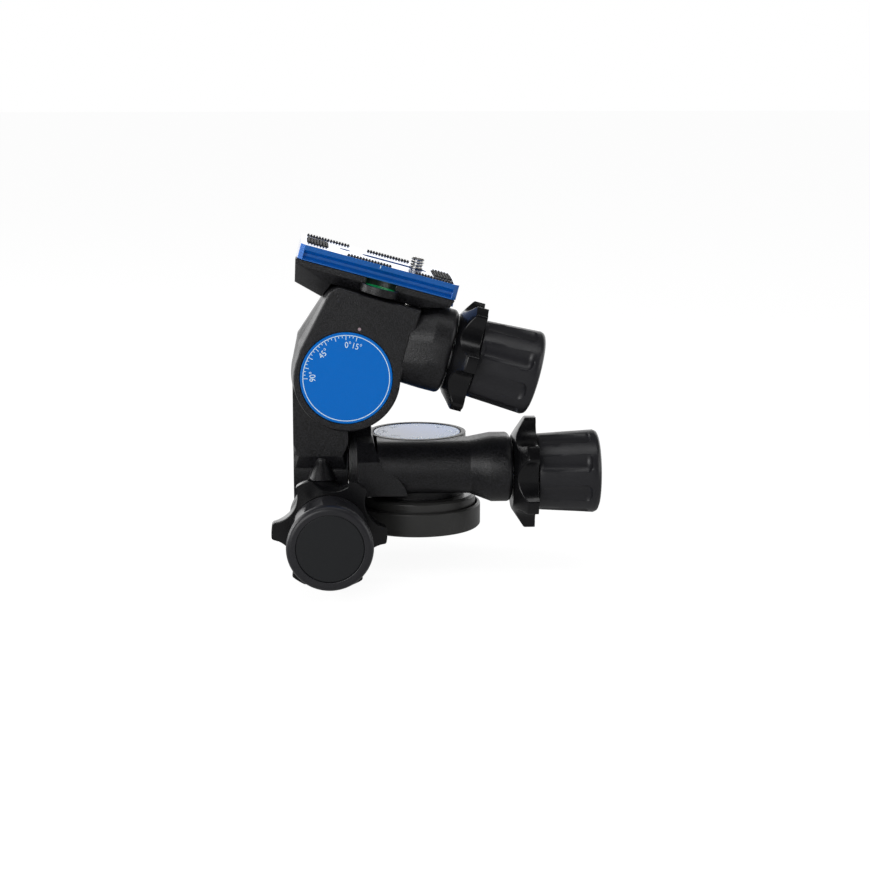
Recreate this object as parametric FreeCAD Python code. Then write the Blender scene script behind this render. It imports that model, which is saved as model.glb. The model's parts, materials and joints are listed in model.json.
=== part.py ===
import FreeCAD, Part
import math
import os

# Three-way geared tripod head, standing as it is held on a tripod.
# Units are millimetres. The origin is the middle of the underside of the base, on the pan axis.
# +Z is up, +X points along the pan knob, -Y points at the operator's side with the dials.
#
# Pan, roll and tilt use one gear unit. Each is drawn once, round the axis of its wheel:
# u runs along the worm out to the knob, v from the wheel to the worm, and t from the middle
# of the wheel towards the dial. A unit is then set down at its place in the head.

V = FreeCAD.Vector

# Gear pair
MODULE = 0.6
TEETH = 60
WORM_PITCH_R = 3.5
CENTRE_DISTANCE = 21.5
BACKLASH = 0.16
PRESSURE_ANGLE = math.radians(20)
WHEEL_HALF = 2.75
THREAD_TURNS = 7

# Gear unit, along u
SLEEVE_START = -17.0
COUNTERBORE_START = 33.5
CONE_START = 22.7
CONE_END = 32.9
TUBE_END = 42.0
COLLAR_START = 42.6
COLLAR_END = 53.6
KNOB_START = 54.2
KNOB_END = 82.8

# Gear unit, across
ECCENTRIC = 3.2
SLEEVE_R = 9.4
SLEEVE_BORE_R = 5.0
NECK_R = 3.6
SHAFT_R = 3.0
RUNNING = 0.05
NARROW_HALF = 12.3
FLARE_HALF = 15.3
FLARE_T = 2.6
NARROW_SPAN = (2.8, 35.8)
FLARE_SPAN = (2.3, 40.7)
MOUTH_ROUND = 2.4
COUNTERBORE_R = 12.9
CHAMBER_R = 19.4
AXLE_R = 7.0
WHEEL_SEAT_R = 6.0
AXLE_TIP_R = 5.0
BUSH_R = 9.5

# Gear unit, along the wheel's axis (t)
BACK = -9.1
CHAMBER_FLOOR = -4.0
HUB_HALF = 3.6
NUT_TOP = 8.1
COVER_SEAT = 11.2
DIAL_SEAT = 13.8
COVER_TOP = 15.0
DIAL_TOP = 15.4
DIAL_R = 20.5

# Knob and collar
KNOB_SMALL_R = 17.6
KNOB_BIG_R = 19.2
KNOB_CAP_R = 15.0
WING_R = 26.0
VALLEY_R = 19.3
WING_COUNT = 6
FLUTE_COUNT = 8

# Head
BASE_R = 30.0
BASE_H = 11.1
BASE_FLOOR = 8.5
DISH_R = 28.6
RING_R = 27.7
RING_TOP = 15.7
HOUSING_R = 23.0
THREAD_3_8_R = 4.76
THREAD_1_4_R = 3.175
PAN_Z = 29.0
ROLL_X = -41.8
ROLL_Z = 29.8
TILT_X = -33.7
TILT_Y = -36.0
TILT_Z = 78.4
REST_TILT = math.radians(15.4)
ARM_LEFT = -57.85
RISER_LEFT = -32.35
RISER_RIGHT = -21.9
RISER_R = 25.6
RISER_FRONT_LEFT = -28.7
RISER_FRONT = -35.8
RISER_LOW = 21.0
RISER_TOP = 46.2
ARM_FRONT = -26.1
ARM_BACK = -8.5

# Tilt housing, in its unit's u, v and t
TILT_ROUND_R = 24.5
TILT_ROUND_U = -0.4
TILT_TOP = 38.2
TILT_LEFT = -16.5
TILT_RIGHT = 24.4
TILT_PARTING = ECCENTRIC
TILT_WIDEST = -2.0
SEAM = 0.25
EDGE = 0.9
TUBE_JOINT = 22.2

# Camera plate and its clamp, in the tilt unit's u and v and the head's y
PLATE_U = (-34.4, 38.0)
PLATE_Y = (-48.0, 2.0)
PLATE_MID_Y = (PLATE_Y[0] + PLATE_Y[1]) / 2
PLATE_TOP = 52.3
PLATE_LOW = 45.5
PAD_TOP = 53.0
PAD_SEAT = 51.5
SLOT_U = (-6.0, 24.0)
SLOT_HALF = 3.5
POCKET_HALF = 8.0
SCREW_U = 19.0
SLIDER_R = 7.6
DOVETAIL_HALF = 19.0
DOVETAIL_LOW = 41.9
CLAMP_U = (-35.2, 37.7)
CHANNEL_FLOOR = 41.6
JAW_TOP = 45.3
JAW_FAR = 6.0
CLAMP_SCREW_U = 2.0
CLAMP_SCREW_V = 35.0
CLAMP_SCREW_R = 2.5
CLAMP_SCREW_Y = (-12.0, 12.0)
LEVEL_U = 4.1
LEVEL_Y = -49.5
VIAL_R = 6.9


def save(name, shape):
    shape.exportStep(f"parts/{name}.step")


def fused(first, *others):
    return first.multiFuse(list(others)).removeSplitter()


def cylinder(radius, start, end, x=0.0, y=0.0):
    """Upright cylinder between two heights."""
    return Part.makeCylinder(radius, end - start, V(x, y, start))


def ring(outer, inner, start, end):
    return cylinder(outer, start, end).cut(cylinder(inner, start - 1, end + 1))


def block(x, y, z):
    """Box from three (low, high) pairs."""
    return Part.makeBox(x[1] - x[0], y[1] - y[0], z[1] - z[0], V(x[0], y[0], z[0]))


def prism(points, direction):
    """Extruded polygon."""
    wire = Part.makePolygon([V(*p) for p in points] + [V(*points[0])])
    return Part.Face(wire).extrude(V(*direction))


def turned(profile):
    """Solid of revolution about Z from (radius, height) points."""
    wire = Part.makePolygon([V(r, 0, z) for r, z in profile + profile[:1]])
    return Part.Face(wire).revolve(V(0, 0, 0), V(0, 0, 1), 360)


def along_u(shape, t=0.0):
    """Turns a shape drawn up Z so that it lies along u on the worm's line, offset by t."""
    matrix = FreeCAD.Matrix(0, 0, 1, 0, 1, 0, 0, CENTRE_DISTANCE, 0, 1, 0, t, 0, 0, 0, 1)
    return shape.transformed(matrix, True)


def unit_placement(origin, u, v):
    t = u.cross(v)
    return FreeCAD.Matrix(u.x, v.x, t.x, origin.x, u.y, v.y, t.y, origin.y,
                          u.z, v.z, t.z, origin.z, 0, 0, 0, 1)


class GearUnit:
    """One gear unit's place in the head."""

    def __init__(self, name, origin, u, v, dial, wing_turn):
        self.name = name
        self.matrix = unit_placement(origin, u, v)
        self.mirrored = u.cross(v).dot(dial) < 0
        self.wing_turn = wing_turn

    def place(self, shape, threaded=False):
        """Sets a shape down. A thread keeps its hand, all else turns its t side to the dial."""
        if self.mirrored and not threaded:
            shape = shape.mirror(V(0, 0, 0), V(0, 0, 1))
        return shape.transformed(self.matrix, True)


TILT_ALONG = V(math.cos(REST_TILT), 0, -math.sin(REST_TILT))
TILT_UP = V(math.sin(REST_TILT), 0, math.cos(REST_TILT))
PAN = GearUnit("pan", V(0, 0, PAN_Z), V(1, 0, 0), V(0, -1, 0), V(0, 0, 1), 30)
ROLL = GearUnit("roll", V(ROLL_X, 0, ROLL_Z), V(0, -1, 0), V(0, 0, -1), V(-1, 0, 0), 33)
TILT = GearUnit("tilt", V(TILT_X, TILT_Y, TILT_Z), TILT_ALONG, TILT_UP, V(0, -1, 0), 30)
UNITS = (PAN, ROLL, TILT)


# ---- Pieces of a gear unit -------------------------------------------------------------

def worm_shaft():
    """Single-start right-hand worm with its journals and the stem that carries the knob."""
    pitch = math.pi * MODULE
    slope = math.tan(PRESSURE_ANGLE)
    half = pitch / 4 - BACKLASH / 2
    tip_r = WORM_PITCH_R + MODULE
    root_r = WORM_PITCH_R - 1.25 * MODULE
    start_r = root_r - 0.3
    length = THREAD_TURNS * pitch
    tip_half = half - MODULE * slope
    root_half = half + (WORM_PITCH_R - start_r) * slope
    profile = Part.makePolygon([V(start_r, 0, -root_half), V(tip_r, 0, -tip_half),
                                V(tip_r, 0, tip_half), V(start_r, 0, root_half),
                                V(start_r, 0, -root_half)])
    path = Part.Wire(Part.makeHelix(pitch, length, WORM_PITCH_R))
    thread = path.makePipeShell([profile], True, True)
    thread.translate(V(0, 0, -length / 2))
    core = fused(cylinder(root_r, -8.5, 8.5), cylinder(SHAFT_R, -15.5, -8.0),
                 cylinder(SHAFT_R, 8.0, 76.0))
    return along_u(core.fuse(thread))


def worm_wheel():
    """Bronze wheel whose teeth lean by the worm's lead angle."""
    pitch_r = MODULE * TEETH / 2
    tip_r = pitch_r + MODULE
    root_r = pitch_r - 1.25 * MODULE - 0.05
    slope = math.tan(PRESSURE_ANGLE)
    half = math.pi * MODULE / 4 - BACKLASH / 2
    tip = (half - MODULE * slope) / tip_r
    root = (half + (pitch_r - root_r) * slope) / root_r
    lead = MODULE / 2 / WORM_PITCH_R
    outlines = []
    for t in (-WHEEL_HALF, WHEEL_HALF):
        points = []
        for tooth in range(TEETH):
            middle = math.pi / 2 + (tooth + 0.5) * 2 * math.pi / TEETH + lead * t / pitch_r
            for angle, radius in ((-root, root_r), (-tip, tip_r), (tip, tip_r), (root, root_r)):
                points.append(V(radius * math.cos(middle + angle), radius * math.sin(middle + angle), t))
        outlines.append(Part.makePolygon(points + points[:1]))
    gear = Part.makeLoft(outlines, True, True)
    hub = cylinder(9.0, -HUB_HALF, HUB_HALF)
    return gear.fuse(hub).cut(cylinder(WHEEL_SEAT_R, -9, 9))


def eccentric_sleeve():
    """Sleeve whose bore is off its own centre, cut open where the wheel meets the worm."""
    body = along_u(cylinder(SLEEVE_R, SLEEVE_START, COLLAR_START + 4.5), ECCENTRIC)
    bore = along_u(fused(cylinder(SLEEVE_BORE_R, SLEEVE_START - 1, 17), cylinder(NECK_R, 16, 60)))
    window = block((-9.8, 9.8), (CENTRE_DISTANCE - 11, CENTRE_DISTANCE - 1.5), (-9, 14))
    body = body.cut(bore).cut(window)
    wheel_room = cylinder(CHAMBER_R, -WHEEL_HALF - 0.9, WHEEL_HALF + 0.9)
    for turn in (0, 12, 24, 36):
        body = body.cut(wheel_room.rotated(V(0, CENTRE_DISTANCE, ECCENTRIC), V(1, 0, 0), -turn))
    return body


def sleeve_bushes():
    """The two bearing bushes that the worm turns in."""
    inner = ring(SLEEVE_BORE_R, SHAFT_R + RUNNING, -15.5, -10.5)
    outer = ring(SLEEVE_BORE_R, SHAFT_R + RUNNING, 11.0, 17.0)
    return Part.makeCompound([along_u(inner), along_u(outer)])


def wing_outline(turn):
    """Six blunt wings joined by round hollows."""
    step = 2 * math.pi / WING_COUNT
    tip_half = 3.8 / WING_R
    edges = []
    for wing in range(WING_COUNT):
        middle = math.radians(turn) + wing * step

        def at(angle, radius):
            return V(radius * math.cos(middle + angle), radius * math.sin(middle + angle), 0)
        edges.append(Part.Arc(at(-tip_half, WING_R), at(0, WING_R), at(tip_half, WING_R)).toShape())
        edges.append(Part.Arc(at(tip_half, WING_R), at(step / 2, VALLEY_R),
                              at(step - tip_half, WING_R)).toShape())
    return Part.Wire(edges)


def release_collar(turn):
    """Winged collar on the sleeve's end, thin at the wing tips on its housing side."""
    disc = Part.Face(wing_outline(turn)).extrude(V(0, 0, COLLAR_END - COLLAR_START))
    disc = disc.makeFillet(1.5, [e for e in disc.Edges if e.BoundBox.ZLength > 1])
    disc.translate(V(0, 0, COLLAR_START))
    slope = turned([(17.0, COLLAR_START - 1), (17.0, COLLAR_START), (WING_R + 1, COLLAR_START + 6.6),
                    (WING_R + 1, COLLAR_START - 1)])
    disc = along_u(disc.cut(slope).cut(cylinder(NECK_R, 40, 60)))
    return disc.cut(along_u(cylinder(SLEEVE_R, 40, COLLAR_START + 4.5), ECCENTRIC))


def knob():
    """Tapered knob with eight round-ended scallops that start at a step, hollow behind its end cap."""
    rim = KNOB_END - 2.4
    outside = turned([(0, KNOB_START), (KNOB_SMALL_R, KNOB_START), (KNOB_BIG_R, rim),
                      (KNOB_BIG_R - 0.7, rim + 1.7), (KNOB_BIG_R - 2.4, KNOB_END), (0, KNOB_END)])
    room = turned([(0, KNOB_END - 3.0), (0, KNOB_END + 1), (KNOB_CAP_R, KNOB_END + 1),
                   (KNOB_CAP_R, KNOB_END - 3.0)])
    hollow = ring(14.2, 6.5, KNOB_START + 4, KNOB_END - 2)
    bore = cylinder(SHAFT_R, KNOB_START - 1, 76.0)
    body = outside.cut(room).cut(hollow).cut(bore)
    scallop_r = 8.0
    reach = KNOB_SMALL_R + scallop_r - 0.6
    far = KNOB_END - 4.0
    scoop = cylinder(scallop_r, KNOB_START + 2.0, far)
    scoop = scoop.makeFillet(3.0, [e for e in scoop.Edges if e.BoundBox.ZMin > far - 0.1])
    for flute in range(FLUTE_COUNT):
        angle = (flute + 0.5) * 2 * math.pi / FLUTE_COUNT
        body = body.cut(scoop.translated(V(reach * math.cos(angle), reach * math.sin(angle), 0)))
    return along_u(body)


def knob_cap():
    face = KNOB_END - 0.5
    return along_u(turned([(0, KNOB_END - 3.0), (KNOB_CAP_R, KNOB_END - 3.0), (KNOB_CAP_R, face),
                           (0, face)]))


def release_spring():
    """Torsion spring of square wire round the sleeve in the mouth of the tube."""
    pitch = 1.6
    coil_r = 11.2
    half = 0.45
    path = Part.Wire(Part.makeHelix(pitch, 4 * pitch, coil_r))
    section = Part.makePolygon([V(coil_r - half, 0, -half), V(coil_r + half, 0, -half),
                                V(coil_r + half, 0, half), V(coil_r - half, 0, half),
                                V(coil_r - half, 0, -half)])
    coil = path.makePipeShell([section], True, True)
    coil.translate(V(0, 0, COUNTERBORE_START + 0.7))
    return along_u(coil, ECCENTRIC)


def axle(start):
    """Stepped axle: thick in its seat and bush, then the wheel's seat, then the nut's thread."""
    return fused(cylinder(AXLE_R, start, -HUB_HALF),
                 cylinder(WHEEL_SEAT_R, -HUB_HALF - 1, HUB_HALF), cylinder(AXLE_TIP_R, 3, DIAL_SEAT))


def axle_nut():
    corner = 9.0
    points = [(corner * math.cos(math.radians(60 * k)), corner * math.sin(math.radians(60 * k)), HUB_HALF)
              for k in range(6)]
    return prism(points, (0, 0, NUT_TOP - HUB_HALF)).cut(cylinder(AXLE_TIP_R, 0, 12))


def axle_bush():
    return ring(BUSH_R, AXLE_R + RUNNING, BACK, CHAMBER_FLOOR)


def dial():
    """Thin dial plate with a boss that rests on the axle's end."""
    return turned([(0, DIAL_SEAT), (DIAL_R, DIAL_SEAT), (DIAL_R, DIAL_TOP - 0.3),
                   (DIAL_R - 0.3, DIAL_TOP), (0, DIAL_TOP)])


def dial_room():
    """Recess for the dial and the hole under it for the axle's end."""
    return fused(cylinder(DIAL_R + 0.3, DIAL_SEAT - 0.3, 30), cylinder(AXLE_TIP_R + 0.3, 0, 30))


def cover(radius, rim=0.0):
    """Round cover with a recess for the dial and a groove that clears the sleeve."""
    plate = cylinder(radius, COVER_SEAT, COVER_TOP + rim).cut(dial_room())
    return plate.cut(along_u(cylinder(SLEEVE_R + 0.3, -40, 40), ECCENTRIC))


def oval(u, t, span, half, grow):
    """Stadium wire across u, between two v values, centred on t."""
    low = V(u, span[0] + half, t)
    high = V(u, span[1] - half, t)
    side = V(0, 0, half + grow)
    out = V(0, half + grow, 0)
    return Part.Wire([Part.Arc(low - side, low - out, low + side).toShape(),
                      Part.LineSegment(low + side, high + side).toShape(),
                      Part.Arc(high + side, high + out, high - side).toShape(),
                      Part.LineSegment(high - side, low - side).toShape()])


def worm_tube(start, grow=0.0):
    """Oval tube that flares at its mouth, made larger all round by grow."""
    narrow = Part.Face(oval(start, ECCENTRIC, NARROW_SPAN, NARROW_HALF, grow))
    narrow = narrow.extrude(V(CONE_START - start, 0, 0))
    mouth = oval(CONE_END, FLARE_T, FLARE_SPAN, FLARE_HALF, grow)
    cone = Part.makeLoft([oval(CONE_START, ECCENTRIC, NARROW_SPAN, NARROW_HALF, grow), mouth], True)
    flare = Part.Face(mouth).extrude(V(TUBE_END - CONE_END, 0, 0))
    edges = [e for e in flare.Edges if e.BoundBox.XMin > TUBE_END - 0.01]
    flare = flare.makeFillet(MOUTH_ROUND, edges)
    return narrow.fuse(cone).fuse(flare)


def unit_hollow():
    """Everything inside a housing: the wheel's chamber, the sleeve's bore and the bush's seat."""
    sleeve_bore = fused(cylinder(SLEEVE_R + RUNNING, SLEEVE_START - 0.3, TUBE_END + 1),
                        cylinder(COUNTERBORE_R, COUNTERBORE_START, TUBE_END + 1))
    return fused(cylinder(CHAMBER_R, CHAMBER_FLOOR, COVER_SEAT), along_u(sleeve_bore, ECCENTRIC),
                 cylinder(BUSH_R, BACK - 1, 0))


# ---- Base and pan ----------------------------------------------------------------------

def base_flange():
    profile = [(0, 0), (BASE_R - 0.8, 0), (BASE_R, 0.8), (BASE_R, BASE_H - 0.6),
               (BASE_R - 0.6, BASE_H), (DISH_R, BASE_H), (DISH_R, BASE_FLOOR), (0, BASE_FLOOR)]
    return turned(profile).cut(cylinder(7.5, -1, 20))


def base_insert():
    return ring(7.5, THREAD_3_8_R, 0, BASE_FLOOR)


def pan_axle():
    foot = cylinder(14.0, BASE_FLOOR, 11.5)
    shaft = axle(11.0 - PAN_Z).translated(V(0, 0, PAN_Z))
    return foot.fuse(shaft)


def glide_washer():
    return ring(25.5, 15.5, BASE_FLOOR, BASE_FLOOR + 0.7)


def screw_circle(count, pitch_r, head_r, shank_r, seat, head_h, length):
    """Group of countersunk screws standing up from a seat height."""
    screws = []
    for k in range(count):
        angle = 2 * math.pi * (k + 0.5) / count
        x, y = pitch_r * math.cos(angle), pitch_r * math.sin(angle)
        screws.append(cylinder(head_r, seat, seat + head_h, x, y).fuse(
            cylinder(shank_r, seat, seat + length, x, y)))
    return Part.makeCompound(screws)


def turntable_ring():
    """Machined ring that turns in the dish of the base."""
    bottom = BASE_FLOOR + 0.8
    profile = [(15.0, bottom), (RING_R - 0.4, bottom), (RING_R, bottom + 0.4), (RING_R, RING_TOP - 1.0),
               (RING_R - 1.0, RING_TOP), (15.0, RING_TOP)]
    return turned(profile).cut(turntable_screws())


def turntable_screws():
    return screw_circle(4, 19.0, 2.75, 1.5, BASE_FLOOR + 1.2, 1.8, 12.0)


def riser():
    """Wall on the pan housing's left that carries the roll axle and closes the worm tube's end."""
    disc = Part.makeCylinder(RISER_R, RISER_RIGHT - RISER_LEFT, V(RISER_LEFT, 0, ROLL_Z), V(1, 0, 0))
    wall = disc.common(block((-40, 0), (-30, 30), (RISER_LOW, 60.0)))
    web = prism([(RISER_FRONT_LEFT, -20.6, RISER_LOW), (-12.0, -20.6, RISER_LOW), (-16.0, -20.6, 29.4),
                 (RISER_RIGHT, -20.6, RISER_TOP), (RISER_FRONT_LEFT, -20.6, RISER_TOP)], (0, 41.2, 0))
    side = prism([(RISER_FRONT_LEFT, RISER_FRONT, RISER_LOW), (RISER_FRONT_LEFT, RISER_FRONT, 37.0),
                  (RISER_FRONT_LEFT, -28.4, 44.6), (RISER_FRONT_LEFT, -22.0, RISER_TOP),
                  (RISER_FRONT_LEFT, -12.0, RISER_TOP), (RISER_FRONT_LEFT, -12.0, RISER_LOW)], (40, 0, 0))
    front = prism([(-35, -40, 20.0), (-5.5, -40, 20.0), (-7.2, -40, 25.0), (-10.6, -40, 29.6),
                   (-15.8, -40, 31.6), (-18.7, -40, 37.3), (-20.5, -40, 42.8), (-21.6, -40, 47.0),
                   (-35, -40, 47.0)], (0, 40, 0))
    return wall.fuse(web.cut(cylinder(HOUSING_R, 40.2, 60))).fuse(side.common(front))


def pan_housing():
    """Casting round the pan gear: body, worm tube, neck and the riser for the roll axle."""
    body = cylinder(HOUSING_R, BACK, COVER_SEAT).fuse(worm_tube(-19.5))
    neck = cylinder(22.3, RING_TOP - PAN_Z, BACK)
    casting = PAN.place(body.fuse(neck))
    casting = casting.fuse(riser())
    casting = casting.cut(PAN.place(unit_hollow()))
    casting = casting.cut(PAN.place(cylinder(HOUSING_R + 0.15, COVER_SEAT, 30)))
    casting = casting.cut(cylinder(BUSH_R, RING_TOP - 1, PAN_Z)).cut(turntable_screws())
    roll_seat = Part.makeCylinder(AXLE_R, 9.6, V(RISER_LEFT - 0.1, 0, ROLL_Z), V(1, 0, 0))
    return casting.cut(roll_seat)


# ---- Roll arm --------------------------------------------------------------------------

def arm_body():
    """Upright casting from the roll axis to the tilt axis, cut back above the roll worm's tube."""
    left, right = ARM_LEFT, ROLL_X - BACK
    lower = Part.makeCylinder(HOUSING_R, right - left, V(left, 0, ROLL_Z), V(1, 0, 0))
    side = [(left, -21.6, ROLL_Z), (left, ARM_FRONT, 38.3), (left, ARM_FRONT, TILT_Z),
            (left, ARM_BACK, TILT_Z), (left, ARM_BACK, 66.0), (left, 19.2, 43.2), (left, 19.2, ROLL_Z)]
    column = prism(side, (right - left, 0, 0))
    column = column.cut(arm_chamfer(left, 1)).cut(arm_chamfer(right, -1))
    ridge = Part.makeCone(6.6, 2.6, 8.6, V(ROLL_X - ECCENTRIC, -24.6, 27.0), V(0, 0.12, 1))
    crest = Part.makeSphere(2.65, V(ROLL_X - ECCENTRIC, -23.6, 35.4))
    depth = ARM_BACK - ARM_FRONT
    boss = Part.makeCylinder(TILT_X - left, depth, V(TILT_X, ARM_FRONT, TILT_Z), V(0, 1, 0))
    gusset = prism([(right - 1, ARM_FRONT, 54.6), (right, ARM_FRONT, 54.6),
                    (TILT_X + 19.5, ARM_FRONT, TILT_Z - 13.5), (TILT_X, ARM_FRONT, TILT_Z)], (0, depth, 0))
    return lower.fuse(column).fuse(boss).fuse(gusset).fuse(ridge).fuse(crest)


def arm_chamfer(x, inward):
    """What is cut from a front corner of the arm: a slanting strip that runs out at its top."""
    sections = []
    outside, before = x - inward, ARM_FRONT - 1
    for width, z in ((2.6, 18.0), (2.6, 38.3), (0.05, 43.8)):
        inside, behind = x + inward * width, ARM_FRONT + 2.0 * width
        corners = [(outside, before), (inside, before), (inside, ARM_FRONT), (x, behind), (outside, behind),
                   (outside, before)]
        sections.append(Part.makePolygon([V(at_x, at_y, z) for at_x, at_y in corners]))
    return Part.makeLoft(sections, True, True)


def roll_arm():
    tube = ROLL.place(worm_tube(-19.0))
    casting = arm_body().fuse(tube)
    casting = casting.cut(ROLL.place(unit_hollow()))
    casting = casting.cut(ROLL.place(cylinder(21.4, COVER_SEAT, 30)))
    tilt_seat = Part.makeCylinder(AXLE_R, 15.3, V(TILT_X, ARM_FRONT - 1, TILT_Z), V(0, 1, 0))
    return casting.cut(tilt_seat)


# ---- Tilt housing ----------------------------------------------------------------------

def bend(before, at, after, radius):
    """Ends and middle of the arc that rounds a corner of an outline."""
    back = (before - at).normalize()
    on = (after - at).normalize()
    half = math.acos(back.dot(on)) / 2
    reach = radius / math.tan(half)
    middle = (back + on).normalize() * (radius / math.sin(half) - radius)
    return at + back * reach, at + middle, at + on * reach


def tilt_outline(t, lean, inset):
    """Outline of the tilt housing: round below, a flat top and a sloping left shoulder.

    lean from 0 to 1 draws the left side in, most at the top of the shoulder. inset shrinks it all round.
    """
    middle = V(TILT_ROUND_U, 0, t)
    radius = TILT_ROUND_R - inset
    shoulder = V(-25.4 + 2.3 * lean + inset, 11.4 - 4.4 * lean, t)
    leave = middle + V(0.3 + 1.2 * lean - radius, 0, 0)
    corner = middle + V(radius * math.cos(math.radians(11)), radius * math.sin(math.radians(11)), 0)
    low = middle + V(0, 0.4 * lean - radius, 0)
    top_right = V(TILT_RIGHT - inset, TILT_TOP - 0.6 - inset, t)
    top_left = V(TILT_LEFT + 0.1 * lean + 0.7 * inset, TILT_TOP - inset, t)
    bend_start, bend_middle, bend_end = bend(top_right, top_left, shoulder, 5.0)
    return Part.Wire([Part.LineSegment(corner, top_right).toShape(),
                      Part.LineSegment(top_right, bend_start).toShape(),
                      Part.Arc(bend_start, bend_middle, bend_end).toShape(),
                      Part.LineSegment(bend_end, shoulder).toShape(),
                      Part.LineSegment(shoulder, leave).toShape(),
                      Part.Arc(leave, low, corner).toShape()])


def tilt_slices(*sections):
    """Stack of slices of the tilt housing, from (t, lean, inset) sections."""
    slices = []
    for near, far in zip(sections, sections[1:]):
        slices.append(Part.makeLoft([tilt_outline(*near), tilt_outline(*far)], True, True))
    return fused(*slices)


def tilt_hollow():
    return fused(unit_hollow(), cylinder(CHAMBER_R, 0, DIAL_SEAT - 2.0))


def tilt_housing():
    """Main casting: back half of the body and the whole worm tube."""
    tube = worm_tube(10.0).cut(block((-60, TUBE_JOINT), (-60, 60), (TILT_PARTING, 40)))
    back = tilt_slices((BACK, 0, EDGE), (BACK + EDGE, 0, 0), (TILT_WIDEST, 0, 0), (TILT_PARTING, 0.5, 0))
    casting = back.fuse(tube)
    return TILT.place(casting.cut(tilt_hollow()).cut(tilt_screws()).cut(bed_screws()))


def tilt_cover():
    """Front shell with the recess for the dial."""
    front = tilt_slices((TILT_PARTING + SEAM, 0.5, 0), (COVER_TOP - EDGE, 1, 0),
                        (COVER_TOP - 0.35 * EDGE, 1, 0.3 * EDGE), (COVER_TOP, 1, EDGE))
    shell = front.cut(worm_tube(TUBE_JOINT))
    shell = shell.cut(dial_room()).cut(tilt_hollow()).cut(tilt_screws())
    return TILT.place(shell.cut(bed_screws()).cut(index_dot()))


def tilt_screws():
    """Three screws that pull the two halves together from the back."""
    screws = []
    for u, v in ((-19.6, 11.6), (-14.0, -15.9), (13.5, -16.4)):
        screws.append(cylinder(2.0, BACK + 0.6, BACK + 2.6, u, v).fuse(
            cylinder(1.25, BACK + 0.6, TILT_PARTING + 6, u, v)))
    return Part.makeCompound(screws)


# ---- Clamp and camera plate ------------------------------------------------------------

def head_t(y):
    """The tilt unit's t for a y of the head."""
    return TILT_Y - y


def across(points, y_low, y_high):
    """Polygon in (u, v) extruded between two y values of the head."""
    t = head_t(y_high)
    return prism([(u, v, t) for u, v in points], (0, 0, y_high - y_low))


def lengthwise(points, u_low, u_high):
    """Polygon in (y, v) extruded between two u values."""
    return prism([(u_low, v, head_t(y)) for y, v in points], (u_high - u_low, 0, 0))


def dovetail():
    """Section (y, v) of the plate's dovetail."""
    mid = PLATE_MID_Y
    wide = DOVETAIL_HALF
    waist = DOVETAIL_HALF - 3.0
    return [(mid - wide, DOVETAIL_LOW), (mid + wide, DOVETAIL_LOW), (mid + wide, 42.6),
            (mid + waist, PLATE_LOW), (mid - waist, PLATE_LOW), (mid - wide, 42.6)]


def corner_facet():
    """What a slanting plane takes off the bed's near left corner."""
    high = V(-32.4, 43.0, head_t(-48.0))
    right = V(-15.0, 36.3, head_t(-44.4))
    low = V(-33.3, 33.8, head_t(-35.0))
    outward = (right - high).cross(low - high)
    if outward.y > 0:
        outward = outward * -1
    return Part.makeCylinder(80, 40, high, outward)


def clamp_base():
    """Deep bed under the camera plate with the fixed jaw on the operator's side."""
    u0, u1 = CLAMP_U
    near, far = PLATE_Y
    front = across([(u0, JAW_TOP), (u0 + 1.6, TILT_TOP), (24.0, TILT_TOP), (u1 - 1.3, CHANNEL_FLOOR),
                    (u1, JAW_TOP)], near, ARM_FRONT - 0.8)
    rear = across([(u0, JAW_TOP), (u0 + 3.0, 33.0), (-20.0, 31.0), (22.0, 31.0), (u1 - 1.3, 41.0),
                   (u1, JAW_TOP)], ARM_FRONT - 0.8, far)
    left = across([(u0, JAW_TOP), (u0 + 2.6, 33.8), (-19.5, 30.4), (TILT_LEFT - 0.4, TILT_TOP),
                   (TILT_LEFT - 0.4, JAW_TOP)], near, ARM_FRONT)
    boss = upright(8.6, 39.6, 43.0, LEVEL_U, LEVEL_Y)
    bed = fused(front, rear, left)
    near_slope = lengthwise([(near - 1, 42.6), (near, 42.6), (near + 7.6, 29.5), (near - 1, 29.5)],
                            u0 - 5, u1 + 5)
    bed = bed.cut(near_slope).cut(corner_facet())
    bed = bed.fuse(boss).cut(upright(VIAL_R, 41.0, 60, LEVEL_U, LEVEL_Y))
    far_face = DOVETAIL_HALF + PLATE_MID_Y + 0.3
    channel = lengthwise([(PLATE_MID_Y - DOVETAIL_HALF - 0.05, CHANNEL_FLOOR),
                          (far + 1, CHANNEL_FLOOR), (far + 1, 60),
                          (PLATE_MID_Y - DOVETAIL_HALF + 2.7, 60),
                          (PLATE_MID_Y - DOVETAIL_HALF + 2.7, PLATE_LOW),
                          (PLATE_MID_Y - DOVETAIL_HALF - 0.05, 42.7)], u0 - 5, u1 + 5)
    bed = bed.cut(channel)
    jaw_room = lengthwise([(far_face - 4.0, 38.4), (far + 1, 38.4), (far + 1, 60), (far_face - 4.0, 60)],
                          -22.4, 26.4)
    bed = bed.cut(jaw_room)
    bed = bed.cut(clamp_screw_path()).cut(bed_screws()).cut(worm_tube(TUBE_JOINT, 0.3))
    return TILT.place(bed)


def upright(radius, low, high, u, y):
    """Cylinder along v."""
    return Part.makeCylinder(radius, high - low, V(u, low, head_t(y)), V(0, 1, 0))


def bed_screws():
    """Four screws that hold the bed on the tilt housing."""
    screws = []
    for u in (-12.0, 18.0):
        for y in (-41.9, -32.0):
            screws.append(upright(2.6, TILT_TOP + 1.2, TILT_TOP + 3.2, u, y).fuse(
                upright(1.5, 33.4, TILT_TOP + 3.2, u, y)))
    return Part.makeCompound(screws)


def level_vial():
    """Round spirit level set in the boss of the bed."""
    glass = upright(VIAL_R, 41.0, 42.6, LEVEL_U, LEVEL_Y)
    return TILT.place(glass)


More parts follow.
